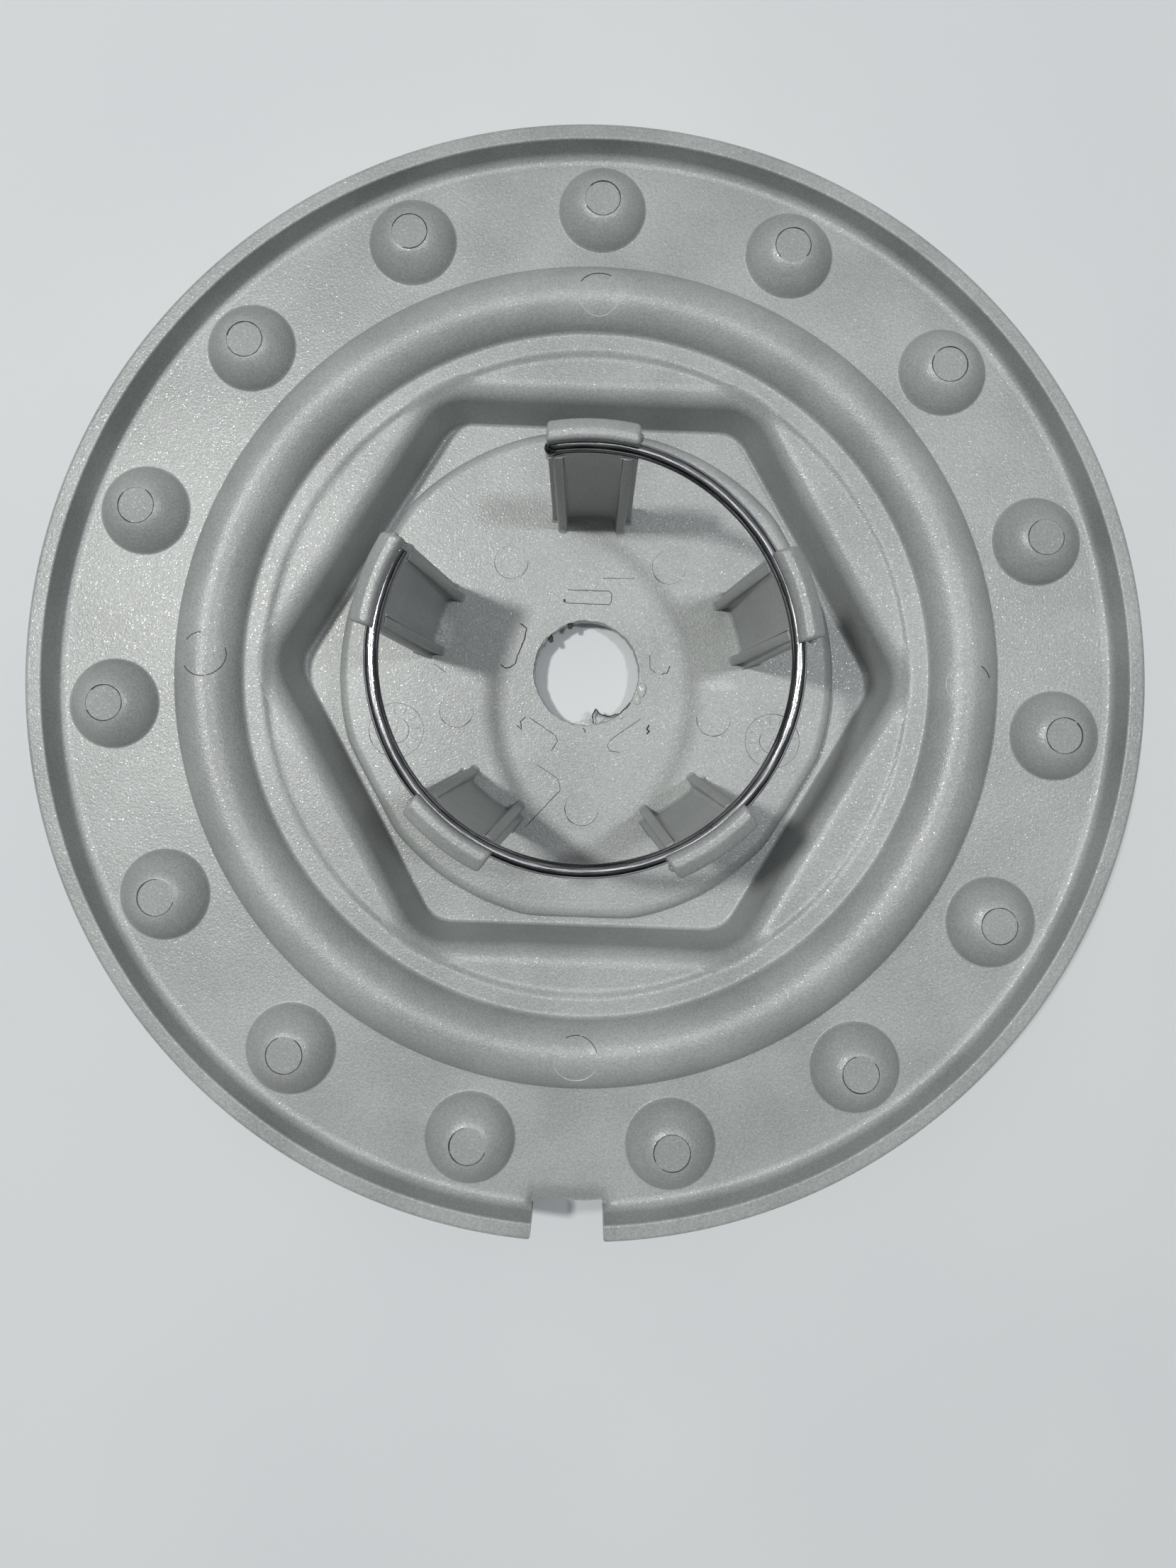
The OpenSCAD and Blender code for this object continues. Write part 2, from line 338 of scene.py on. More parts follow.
# partly whitened plastic, partly a painted highlight on edges that catch the light
whiteningAndPaintedHighlight = plainMaterial("whitenedPlasticAndPaintedHighlight", grey(222, 224, 222), 0.32)
meltedPlastic = plainMaterial("meltedPlastic", grey(205, 208, 206), 0.2, 0.6, 0.03)
# material slots of the two moulded skins; the fourth one differs; dark carries painted shade, pale carries
# whitened plastic and painted highlight
plastic, dark, pale = range(3)
mark = melted = 3
print("plastics made")


# the moulded shell

shell = {
    "columns": 480, "rim": 77.0, "webBack": 12.2, "webFront": 9.7, "lipTop": 16.3, "lipInner": 74.75,
    "wallFoot": 74.1, "floor": 2.5, "land": 12.7, "ridgeLand": 13.2, "stepFrom": 44.5, "stepTo": 45.5,
    "ridge": 52.8, "ridgeRound": 4.85, "ridgeMark": 3.0, "groove": 2.4, "pocket": 37.1, "pocketCorner": 5.0,
    "lean": 1.4, "wall": 2.5, "hole": 7.65,
    # the notch: half width, distance of its floor, round at its corners, middle of its side walls
    "notchHalf": 4.9, "notchFloor": 73.1, "notchCorner": 0.65, "notchMiddle": (75.2, 11.7),
    # the domes: count, circle, ball they are cut from, height, mark on top, flatter part, wall
    "domes": 15, "domeCircle": 66.3, "domeBall": 6.48, "domeTop": 4.6, "domeMark": 2.5, "domeShoulder": 3.7,
    "domeWall": 2.3,
}
domeCentres = [onCircle(shell["domeCircle"], 90 + d * 360 / shell["domes"]) for d in range(shell["domes"])]
domeMiddle = shell["webBack"] + shell["domeTop"] - shell["domeBall"]


def hexRadius(theta, apothem, corner):
    # distance to a hexagon with round corners, flats facing +Y and -Y
    phi = np.abs(np.mod(theta, math.radians(60)) - math.radians(30))
    flat = apothem / np.cos(phi)
    centre = (apothem - corner) / math.cos(math.radians(30))
    psi = math.radians(30) - phi
    arc = centre * np.cos(psi) + np.sqrt(np.maximum(corner ** 2 - (centre * np.sin(psi)) ** 2, 0))
    onFlat = apothem * np.tan(phi) <= (apothem - corner) * math.tan(math.radians(30))
    return np.where(onFlat, flat, arc)


def landHeight(radius):
    s = shell
    return s["land"] + (s["ridgeLand"] - s["land"]) * smoothStep(s["stepFrom"], s["stepTo"], radius)


def holeRadius(theta, height, seed=3.0):
    # the drilled hole is uneven: slow lobes and small teeth
    out = []
    for t in np.atleast_1d(theta):
        c, s = math.cos(t), math.sin(t)
        r = shell["hole"] + 0.10 * wobble(c * 2, s * 2, height * 0.1, 1.3, seed)
        r += 0.16 * wobble(c * 9, s * 9, height * 0.5, 1.0, seed + 5)
        out.append(r)
    return np.array(out)


def shellRings(theta):
    # the shell's section as rings: up the hole and the pocket, over the ridge, round the rim and back
    s = shell
    rings = []

    def add(radius, height):
        rings.append([np.broadcast_to(np.asarray(q, float), theta.shape).copy() for q in (radius, height)])

    for h in (0.35, 1.3, 2.2):
        add(holeRadius(theta, h, 9.0) + 0.12, h)
    add(holeRadius(theta, s["floor"], 9.0) + 0.2, s["floor"])
    add(34.0, s["floor"])
    wallTop = s["pocket"] + s["lean"]
    inner = [(s["pocket"] - 2, s["floor"], 0), (s["pocket"], s["floor"], 0.55),
             (wallTop + 0.25, s["land"], 2.5), (wallTop + 2.9, s["land"], 0)]
    for a, h in roundCorners(inner, 8):
        radius = hexRadius(theta, a, s["pocketCorner"] + max(0.0, a - s["pocket"]))
        add(radius, h + (landHeight(radius) - s["land"]) * smoothStep(9.0, s["land"], h))
    last = radius
    for t in np.linspace(0, 1, 13)[1:]:
        radius = last + (47.3 - last) * t
        add(radius, landHeight(radius))
    web, front = s["webBack"], s["webFront"]
    arc = [(s["ridge"] + s["ridgeRound"] * math.cos(a), web + s["ridgeRound"] * math.sin(a))
           for a in np.radians(np.linspace(168.1, 0, 22))]
    outer = [(47.6, s["ridgeLand"], 0), (arc[0][0], s["ridgeLand"], 0.75)]
    outer += [(r, h, 0) for r, h in arc[1:-1]]
    outer += [(arc[-1][0], web, 0.28)] + [(r, web, 0) for r in (59.0, 70.4, 71.0, 71.6, 72.2, 72.7)]
    outer += [(s["wallFoot"], web, 1.25), (s["lipInner"], s["lipTop"], 0.3), (s["rim"], s["lipTop"], 0.55),
              (s["rim"], front, 1.5), (72.2, front, 0)]
    for r, h in roundCorners(outer):
        add(r, h)
    for r in np.linspace(71.2, 61.4, 20):
        add(r, front)
    ridge, g = s["ridge"], s["groove"]
    groove = [(58.0, front, 0), (ridge + g, front, 0.3), (ridge + g, web, 0)]
    groove += [(ridge + g * math.cos(a), web + g * math.sin(a), 0)
               for a in np.radians(np.linspace(20, 160, 8))]
    groove += [(ridge - g, web, 0), (ridge - g, front, 0.3), (49.0, front, 0)]
    for r, h in roundCorners(groove, 3):
        add(r, h)
    out = s["pocket"] + s["wall"]
    boss = [(out + 4, front, 0), (out + s["lean"], front, 0.5), (out, 0.0, 1.4), (out - 6, 0.0, 0)]
    for a, h in roundCorners(boss):
        add(hexRadius(theta, a, s["pocketCorner"] + s["wall"] + max(0.0, a - out)), h)
    add(holeRadius(theta, 0.0, 9.0) + 0.3, 0.0)
    return rings


def shellColumns():
    # angles of the columns, their kind and reach; kind 0 runs whole, 1 lies at the rounded corner of the
    # notch, 2 in the middle of its side wall and 3 in the notch; reach is the distance from the middle plane
    half, notchOut = shell["notchHalf"], 76.0
    start, turn = math.radians(-90), 2 * math.pi
    edge = math.asin(half / notchOut)
    reaches = [half + d for d in (0, 0.05, 0.16, 0.34, 0.62)]
    near = [(math.asin(reach / notchOut), reach) for reach in reaches]
    last = math.asin((half + 1.3) / notchOut)
    columns = [(start + edge, 3, 0), (start + edge, 2, 0)] + [(start + a, 1, reach) for a, reach in near]
    columns += [(t, 0, 0) for t in np.linspace(last, turn - last, shell["columns"] - 22) + start]
    columns += [(start - a + turn, 1, reach) for a, reach in reversed(near)]
    columns += [(start - edge + turn, 2, 0), (start - edge + turn, 3, 0)]
    columns += [(t, 3, 0) for t in np.linspace(-edge, edge, 16)[1:-1] + start + turn]
    return [np.array(q) for q in zip(*columns)]


def buildShell():
    s = shell
    angles, kinds, reach = shellColumns()
    corner, half = s["notchCorner"], s["notchHalf"]
    bend = np.clip(corner - (reach - half), 0, corner)
    limit = np.where(kinds == 1, s["rim"] - corner + np.sqrt(corner ** 2 - bend ** 2), 100.0)
    cos, sin = np.cos(angles), np.sin(angles)
    vertices = []
    for radius, height in shellRings(angles):
        r, h = np.minimum(radius, limit), height.copy()
        x, y = r * cos, r * sin
        # ejector marks sunk a little into the ridge
        if h.max() > 14.5 and 49 < r.mean() < 57:
            for mx, my in [onCircle(s["ridge"], a) for a in (0, 90, 180, 270)]:
                h = h - 0.10 * (1 - smoothStep(2.75, 3.2, np.hypot(x - mx, y - my)))
        # dimples in front of the domes
        if np.abs(h - s["webFront"]).max() < 0.01 and 61 < r.mean() < 71.5:
            for cx, cy in domeCentres:
                d = np.hypot(x - cx, y - cy)
                ball = np.sqrt(np.maximum((s["domeBall"] - s["domeWall"]) ** 2 - d ** 2, 0))
                sunk = (domeMiddle + ball - s["webFront"]) * (1 - smoothStep(3.7, 4.5, d))
                h = h + np.where(d < 4.6, sunk, 0)
        # web rolls down to the notch
        if 71.0 < r.mean() < 78 and h.mean() > 11.5:
            beside = (1 - smoothStep(4.6, 5.8, np.abs(x))) * (sin < -0.9)
            h = np.where(h < 12.4, h - 1.25 * np.clip((r - 70.4) / 2.7, 0, 1) ** 2 * beside, h)
        # the notch is cut out: its floor steps a little, and its side walls end at their middles
        floorStep = 0.3 * smoothStep(0.6, 0.9, x) * (1 - 0.8 * smoothStep(2.2, 4.7, x))
        beyond = r > s["notchFloor"]
        cut = (kinds == 3) & beyond
        y = np.where(cut, np.maximum(y, -s["notchFloor"] - floorStep), y)
        h = np.where(cut, np.clip(h, s["webFront"], 10.95), h)
        side = (kinds > 0) & beyond & (kinds < 3)
        away = np.maximum(reach, half)
        x = np.where(side, np.sign(x) * away, x)
        y = np.where(side, -np.sqrt(np.maximum(r ** 2 - away ** 2, 0)), y)
        middle = (kinds == 2) & beyond
        y = np.where(middle, -s["notchMiddle"][0], y)
        h = np.where(middle, s["notchMiddle"][1], h)
        vertices.append(np.stack([x, y, h], 1))
    n, faces = len(angles), []
    for k in range(len(vertices)):
        faces += band(k * n, (k + 1) % len(vertices) * n, n)
    return np.concatenate(vertices), faces


def domeProfile():
    # from the sunk mark over a flatter shoulder and the ball down to a sharp foot
    s = shell
    ball, flatStart, flatEnd = s["domeBall"], s["domeMark"], s["domeShoulder"]
    shoulder = math.asin(flatEnd / ball)
    level, slope = domeMiddle + ball * math.cos(shoulder), math.tan(shoulder)
    wide = flatEnd - flatStart
    profile = []
    for t in (0.0, 0.2, 0.45, 0.75):
        left = wide * (1 - t)
        profile.append((flatEnd - left, level + left * slope - left ** 2 * (slope - 0.2) / (2 * wide)))
    profile = [(flatStart - 0.03, profile[0][1] - 0.11)] + profile
    foot = math.acos((s["webBack"] - domeMiddle) / ball)
    profile += [(ball * math.sin(a), domeMiddle + ball * math.cos(a))
                for a in np.linspace(shoulder, foot - 0.02, 9)]
    edge = ((6.23, 0.05), (6.3, 0.012), (6.38, 0.003), (6.42, -0.5))
    return profile + [(r, s["webBack"] + h) for r, h in edge]


def buildDomes():
    profile = domeProfile()
    sides, rows = 48, len(profile)
    parts = []
    for d, (cx, cy) in enumerate(domeCentres):
        vertices, faces = [], []
        tilt = 0.02 * wobble(d, 1.7, 0.3, 1.0, 4.0)
        for r, h in profile:
            level = h + (tilt * r if r < shell["domeMark"] - 0.02 else 0)
            vertices += [(x, y, level) for x, y in circlePoints(r, sides, (cx, cy))]
        for i in range(rows - 1):
            faces += band(i * sides, (i + 1) * sides, sides)
        faces.append(tuple(range(sides)))
        faces.append(tuple((rows - 1) * sides + k for k in range(sides - 1, -1, -1)))
        parts.append((vertices, faces, [plastic] * (len(faces) - 2) + [mark, plastic]))
    return parts


def ridgeTop(x, y):
    d = math.hypot(x, y) - shell["ridge"]
    return shell["webBack"] + math.sqrt(max(shell["ridgeRound"] ** 2 - d * d, 0))


def shellLines():
    # thin dark lines of painted shade in the gaps and pale lines of painted highlight on the edges of the
    # ejector marks
    parts = []
    r = shell["ridge"]
    for cx, cy, spans in (
            (0, r - 0.3, ((60, 150, dark), (200, 330, pale))),
            (0.4, -r + 0.1, ((20, 75, dark), (80, 118, dark), (190, 330, pale))),
            (-r + 0.2, 0.2, ((95, 140, dark), (-75, 20, dark), (215, 280, dark))),
            (r - 0.2, -0.4, ((100, 250, pale), (20, 60, dark)))):
        for low, high, slot in spans:
            line = arcLine(cx, cy, shell["ridgeMark"], low, high, lambda x, y: ridgeTop(x, y) - 0.02, 26)
            parts.append((*tube(line, 0.055), slot))
    height = domeMiddle + math.sqrt(shell["domeBall"] ** 2 - shell["domeMark"] ** 2)
    for d, (cx, cy) in enumerate(domeCentres):
        first = 360 * (0.5 + wobble(d, 0.2, 4.1, 1.7, 2.0))
        length = 290 + 110 * wobble(d, 7.2, 1.1, 1.3, 6.0)
        line = arcLine(cx, cy, shell["domeMark"] - 0.02, first, first + length, height - 0.08)
        radii = [0.03 + 0.07 * abs(wobble(x, y, 3, 0.5, 2.0)) for x, y, z in line]
        parts.append((*tube(line, radii), dark))
    return parts


capSkin = makePiece("capShellSkin", [(*buildShell(), plastic)] + buildDomes() + shellLines(),
                    [shellPlastic, paintedShadeLine, whiteningAndPaintedHighlight, markPlastic], 40)
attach(capSkin, "root")
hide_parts("cap_shell")
print("shell made", sum(len(q.vertices) - 2 for q in capSkin.data.polygons))


# the clip plate

plate = {
    "radius": 36.4, "flat": 35.7, "top": 5.2, "bottom": 2.6, "edge": 1.6, "columns": 360, "holeColumns": 220,
    "markAngles": (126, 54, -18, -90, -162), "markCircle": 19.8, "mark": 2.5, "markDepth": 0.07,
    "dialRadius": 4.0, "dialInner": 1.85, "dials": ((-27.5, -9.3), (27.5, -9.0)),
    # a shallow step runs between these two circles; the third one only evens out the triangles
    "stepInner": 12.0, "stepOuter": 23.6, "stepDepth": 0.06, "helpCircle": 31.0,
}
plateMarks = [onCircle(plate["markCircle"], a) for a in plate["markAngles"]]


def isInside(x, y, outline):
    # whether a point lies in a closed outline
    ax, ay = outline.T
    bx, by = np.roll(ax, -1), np.roll(ay, -1)
    crossing = (ay > y) != (by > y)
    reach = ax + (y - ay) / np.where(crossing, by - ay, 1.0) * (bx - ax)
    return np.count_nonzero(crossing & (x < reach)) % 2 == 1


def plateContour(theta, inset):
    # a disc with six small flats, blended softly
    flat = (plate["flat"] - inset) / np.cos(np.mod(theta, math.radians(60)) - math.radians(30))
    disc, soft = plate["radius"] - inset, 0.12
    return -soft * np.log(np.exp(-flat / soft) + np.exp(-disc / soft))


def plateTop(vertices, edgeStart, holeStart):
    # triangles of the top face, which follow every mark; adds the marks' points to vertices
    p = plate
    flat, edges, owner = [], [], []

    def loop(indices):
        base = len(flat)
        flat.extend(Vector(vertices[i][:2]) for i in indices)
        owner.extend(indices)
        edges.extend((base + i, base + (i + 1) % len(indices)) for i in range(len(indices)))

    def addLoop(xy, depth):
        base = len(vertices)
        vertices.extend((q[0], q[1], p["top"] - depth) for q in xy)
        loop(range(base, len(vertices)))

    outlines = [range(edgeStart, edgeStart + p["columns"]), range(holeStart, holeStart + p["holeColumns"])]
    edgeRing, holeRing = [np.array([vertices[i][:2] for i in indices]) for indices in outlines]
    for indices in outlines:
        loop(indices)
    for c in plateMarks:
        addLoop(circlePoints(p["mark"], 64, c), 0)
        addLoop(circlePoints(p["mark"] - 0.05, 64, c), p["markDepth"])
    for c in p["dials"]:
        for radius, depth in ((p["dialRadius"], 0), (p["dialRadius"] - 0.05, 0.05),
                              (p["dialInner"], 0.05), (p["dialInner"] - 0.05, 0)):
            addLoop(circlePoints(radius, 56, c), depth)
    addLoop(circlePoints(p["helpCircle"], 120), 0)
    addLoop(circlePoints(p["stepOuter"], 120), 0)
    addLoop(circlePoints(p["stepOuter"] - 0.1, 120), p["stepDepth"])
    addLoop(circlePoints(p["stepInner"], 90), p["stepDepth"])
    points, _, triangles, origins = delaunay_2d_cdt(flat, edges, [], 0, 1e-5)[:4]
    index = []
    for q, origin in zip(points, origins):
        index.append(owner[origin[0]] if origin else len(vertices))
        if not origin:
            vertices.append((q.x, q.y, p["top"]))
    faces = []
    for f in triangles:
        cx, cy = (sum(points[i][k] for i in f) / len(f) for k in (0, 1))
        if isInside(cx, cy, edgeRing) and not isInside(cx, cy, holeRing):
            faces.append(tuple(index[i] for i in f))
    return faces


def buildPlate():
    p = plate
    n, holeCount = p["columns"], p["holeColumns"]
    theta = np.arange(n) * 2 * math.pi / n
    rows = [(1.2, p["bottom"]), (0.25, p["bottom"]), (0.0, p["bottom"] + 0.2), (0.0, p["top"] - p["edge"])]
    rows += [(p["edge"] * (1 - math.cos(a)), p["top"] - p["edge"] * (1 - math.sin(a)))
             for a in np.radians((15, 30, 45, 60, 75, 90))]
    vertices, faces = [], []
    for k, (inset, h) in enumerate(rows):
        r = plateContour(theta, inset)
        vertices.extend(zip(r * np.cos(theta), r * np.sin(theta), np.full_like(r, h)))
        if k:
            faces += band((k - 1) * n, k * n, n, True)
    # uneven wall of the hole
    t = np.arange(holeCount) * 2 * math.pi / holeCount
    holeStart = len(vertices)
    for k, h in enumerate((p["top"], p["top"] - 0.15, 4.6, 4.0, 3.3, p["bottom"])):
        r = holeRadius(t, h) + (0 if k else 0.10)
        vertices.extend(zip(r * np.cos(t), r * np.sin(t), np.full_like(r, h)))
        if k:
            faces += band(holeStart + (k - 1) * holeCount, holeStart + k * holeCount, holeCount, True)
    # underside
    lowStart = len(vertices) - holeCount
    for i in range(n):
        q, w = (lowStart + int(round(k * holeCount / n)) % holeCount for k in (i, i + 1))
        faces.append((i, q, w, (i + 1) % n) if q != w else (i, q, (i + 1) % n))
    return vertices, faces + plateTop(vertices, (len(rows) - 1) * n, holeStart)


clip = {
    "angles": (90, 18, -54, -126, 162), "foot": 23.0, "lean": 1.2, "wire": 35.2, "groove": 1.0,
    "wireCircle": 25.0, "panelHalf": 3.5, "ribHalf": 4.9, "footHalf": 5.72, "neckHalf": 5.42, "ribTop": 33.95,
    "ribDepth": 2.1, "ribTopDepth": 0.6, "stepDepth": 0.6, "stepTopDepth": 0.3,
    # the small ear at the clockwise end of every clip: (out, across, height) and half sizes
    "ear": (25.75, -5.5, 36.3), "earSize": (0.55, 0.4, 0.95),
    # how far each clip's lip stays back from the wire
    "lipBack": {90: 0.3, 18: -0.15, -54: 0.0, -126: 0.14, 162: 0.12},
    # outer side above the neck: (height, distance from the axis)
    "outer": ((0, 25.4), (34.0, 26.6), (34.3, 26.66), (34.8, 27.1), (35.3, 27.6), (35.6, 27.82), (36.0, 27.9),
              (36.4, 27.88), (36.8, 27.7), (37.2, 27.42), (37.6, 27.1), (37.95, 26.8), (38.2, 26.55),
              (38.34, 26.36), (38.4, 26.15)),
    # lip above the wire: (height, inner radius, half width, corner, inner corner)
    "lip": ((36.25, 24.87, 5.5, 0.5, 0.2), (36.4, 24.84, 5.52, 0.5, 0.35),
            (36.8, 24.83, 5.53, 0.52, 0.4), (37.2, 24.84, 5.53, 0.55, 0.42),
            (37.55, 24.88, 5.52, 0.55, 0.45), (37.8, 24.96, 5.48, 0.55, 0.45),
            (38.0, 25.07, 5.42, 0.55, 0.42), (38.2, 25.22, 5.32, 0.52, 0.4),
            (38.33, 25.42, 5.2, 0.46, 0.3), (38.4, 25.68, 5.05, 0.3, 0.12)),
}


def spin(out, across, degrees):
    # a place given out from the axis and across it, turned to a clip's angle
    t = math.radians(degrees)
    return out * math.cos(t) - across * math.sin(t), out * math.sin(t) + across * math.cos(t)


def outerRadius(z):
    return float(np.interp(z, *np.transpose(clip["outer"])))


def clipSection(inner, outer, half, rib, step, corner, arc=0.0, inside=0.18):
    # one level of a clip: (out from the axis, across), counter-clockwise; with arc 1 it follows the
    # round without ribs
    c = clip
    panel = c["panelHalf"]
    pts = []
    for v in np.linspace(-(half - corner), half - corner, 13):
        pts.append((math.sqrt(outer ** 2 - v * v), v))
    base = math.sqrt(outer ** 2 - (half - corner) ** 2)
    for a in (30, 60, 90):
        t = math.radians(a)
        pts.append((base - corner * (1 - math.cos(t)), half - corner + corner * math.sin(t)))
    ribOut = min(c["ribHalf"], half - inside - 0.1)
    nose = min(0.4, max(0.02, rib - step))

    def face(v, depth, back=0.0):
        flat = inner - depth
        return flat + (math.sqrt(inner ** 2 - v * v) - flat) * arc + back, v

    pts += [face(half, step, inside), face(half - inside * 0.3, step, inside * 0.3),
            face(half - inside, step), face(ribOut + 0.06, step), face(ribOut, step, -0.04 * (1 - arc)),
            face(ribOut, rib, nose * (1 - arc)), face(ribOut - nose * 0.35, rib, nose * 0.3 * (1 - arc)),
            face(ribOut - nose, rib), face(panel + nose, rib),
            face(panel + nose * 0.35, rib, nose * 0.3 * (1 - arc)), face(panel, rib, nose * (1 - arc))]
    rim = math.sqrt(inner ** 2 - panel ** 2)
    pts += [(rim - 0.25 * (1 - arc), panel - 0.004), (rim, panel - 0.22)]
    pts += [(math.sqrt(inner ** 2 - v * v), v) for v in np.linspace(panel - 0.6, 0, 5)]
    left = [(u, -v) for u, v in pts[13:-1]]
    return pts + left[::-1]


def clipLevels(back):
    # (height of the inner side, height of the outer side, section), from below the plate's top to the lip
    c = clip
    top, neck = c["ribTop"], c["neckHalf"]
    grooveFoot = c["wire"] - 0.6

    def inner(z):
        return c["foot"] + c["lean"] * min(z / (c["wire"] - 0.9), 1.0)

    levels = []
    for z in (-0.4, 0.0, 0.12, 0.3, 0.6, 1.2, 4, 8, 12, 16, 20, 24, 28, 31, top - 0.3, top - 0.08, top):
        t = max(z, 0) / top
        flare = 0.35 * max(0.0, 1 - max(z, 0) / 0.6) ** 2
        drop = 0.25 if z == top else (0.06 if z == top - 0.08 else 0)
        rib = c["ribDepth"] + (c["ribTopDepth"] - c["ribDepth"]) * t ** 0.9 - drop
        step = c["stepDepth"] + (c["stepTopDepth"] - c["stepDepth"]) * t - drop
        half = c["footHalf"] + (neck - c["footHalf"]) * t
        levels.append((z, z, clipSection(inner(z) - flare, outerRadius(z) + flare, half + flare * 0.5,
                                         max(rib, 0.03), max(step, 0.02), 0.18)))
    levels.append((top + 0.01, top + 0.01, clipSection(inner(top), outerRadius(top), neck, 0, 0, 0.18, 1.0)))
    levels.append((grooveFoot, grooveFoot,
                   clipSection(inner(grooveFoot), outerRadius(grooveFoot), neck, 0, 0, 0.2, 1.0)))
    # round the groove for the wire
    sweep = np.radians((-48, -28, 0, 30, 60, 90, 120, 150, 180, 187))
    for k, a in enumerate(sweep):
        z = c["wire"] - c["groove"] * math.cos(a)
        u = max(c["wireCircle"] + c["groove"] * math.sin(a), 24.88 + back)
        outside = grooveFoot + 0.02 + (36.2 - grooveFoot - 0.02) * (k + 1) / len(sweep)
        levels.append((z, outside, clipSection(u, outerRadius(outside), neck + 0.08 * k / 9, 0, 0,
                                               0.2 + 0.03 * k, 1.0)))
    for z, u, half, corner, inside in c["lip"]:
        u += back * (1 - float(smoothStep(37.2, 38.3, z)))
        levels.append((z, z, clipSection(u, outerRadius(z), half, 0, 0, corner, 1.0, inside)))
    return levels


def buildClip(degrees):
    levels = clipLevels(clip["lipBack"][degrees])
    vertices, faces = [], []
    m = len(levels[0][2])
    for k, (zInner, zOuter, section) in enumerate(levels):
        for i, (u, v) in enumerate(section):
            outside = i < 16 or i >= m - 3
            z = zOuter if outside else zInner
            # the skin dips where the bent end of the wire turns down behind it
            if degrees == 90 and not outside and clip["ribTop"] - 0.1 < zInner <= clip["wire"] - 0.6:
                z -= 1.3 * float(smoothStep(4.3, 5.35, v))
            vertices.append((*spin(u, v, degrees), plate["top"] + z))
        if k:
            faces += band((k - 1) * m, k * m, m, True)
    last = (len(levels) - 1) * m
    return vertices, faces + [tuple(range(m - 1, -1, -1)), tuple(last + i for i in range(m))]


def blob(centre, size, seed, rings=12, sides=18, rough=0.22):
    # an uneven ball; centre and size are (x, y, z)
    vertices = []
    for i in range(rings + 1):
        lat = math.pi * i / rings
        for k in range(sides if 0 < i < rings else 1):
            lon = 2 * math.pi * k / sides
            d = Vector((math.sin(lat) * math.cos(lon), math.sin(lat) * math.sin(lon), math.cos(lat)))
            g = 1 + rough * noise.noise(d * 1.6 + Vector((seed, seed, seed))) if 0 < i < rings else 1
            vertices.append(tuple(c + s * q * g for c, s, q in zip(centre, size, d)))
    faces = []
    for i in range(rings - 2):
        faces += band(1 + i * sides, 1 + (i + 1) * sides, sides)
    low, end = 1 + (rings - 2) * sides, len(vertices) - 1
    for k in range(sides):
        m = (k + 1) % sides
        faces += [(0, 1 + k, 1 + m), (low + k, end, low + m)]
    return vertices, faces


def clipEars():
    parts = []
    for degrees in clip["angles"]:
        ear, faces = blob(clip["ear"], clip["earSize"], degrees * 0.1, 8, 12, 0.1)
        parts.append(([(*spin(u, v, degrees), plate["top"] + h) for u, v, h in ear], faces, plastic))
    return parts


# witness marks of the lifters and scratches: (points, half width, slot); dark is painted shade in their
# grooves, pale is whitening and painted highlight on their edges
plateScratches = (
    ([(-3.7, 10.7), (-3.5, 10.25), (3.0, 10.2), (3.3, 10.6), (3.3, 11.8), (2.9, 12.2), (-3.2, 12.2)],
     0.05, dark),
    ([(-3.75, 10.6), (-3.45, 10.55)], 0.22, dark),
    ([(-10.0, 7.0), (-9.0, 6.3), (-9.3, 4.6), (-10.2, 2.2), (-10.5, 1.0), (-11.2, 0.5), (-11.9, 0.35),
      (-12.6, 0.8)], 0.09, dark),
    ([(-11.6, 3.9), (-10.9, 2.6)], 0.05, pale),
    ([(9.2, 3.0), (8.8, 5.0), (8.4, 6.8), (8.9, 7.3), (9.8, 7.4), (10.2, 6.4), (10.6, 6.1), (11.5, 6.1),
      (11.9, 6.5), (11.9, 8.0), (11.4, 9.2)], 0.07, pale),
    ([(9.2, 3.0), (9.3, 1.0), (10.1, 0.4)], 0.045, dark),
    ([(11.0, 0.2), (11.4, 0.4), (11.8, 0.35), (12.1, 1.1), (12.2, 1.5)], 0.07, dark),
    ([(-8.1, -6.8), (-6.2, -8.0), (-4.2, -9.3), (-3.9, -10.2), (-4.8, -11.6)], 0.05, dark),
    ([(-9.9, -8.0), (-9.2, -8.6), (-9.4, -7.4), (-8.7, -6.7)], 0.07, dark),
    ([(8.1, -6.5), (6.0, -8.0), (3.9, -9.6), (3.4, -10.5), (3.8, -11.3), (5.3, -11.4)], 0.045, dark),
    ([(9.4, -7.3), (9.1, -7.9), (9.5, -8.2), (9.1, -8.6)], 0.12, dark),
    ([(9.0, -9.0), (10.0, -9.9), (11.5, -9.0)], 0.045, pale),
    ([(2.0, 14.1), (6.6, 14.2)], 0.04, dark), ([(11.7, 11.6), (15.0, 12.6)], 0.04, pale),
    ([(-3.2, -17.2), (-8.0, -22.6)], 0.055, dark),
    ([(-3.2, -17.2), (-3.6, -15.6), (-6.8, -13.6)], 0.035, dark),
    ([(15.6, -3.1), (18.4, -1.9), (22.6, -0.9)], 0.05, pale), ([(-20.6, -0.6), (-22.4, 0.6)], 0.045, dark),
    ([(-7.9, -33.3), (8.2, -33.3)], 0.03, pale), ([(-0.2, -8.0), (0.2, -8.7)], 0.07, dark),
)


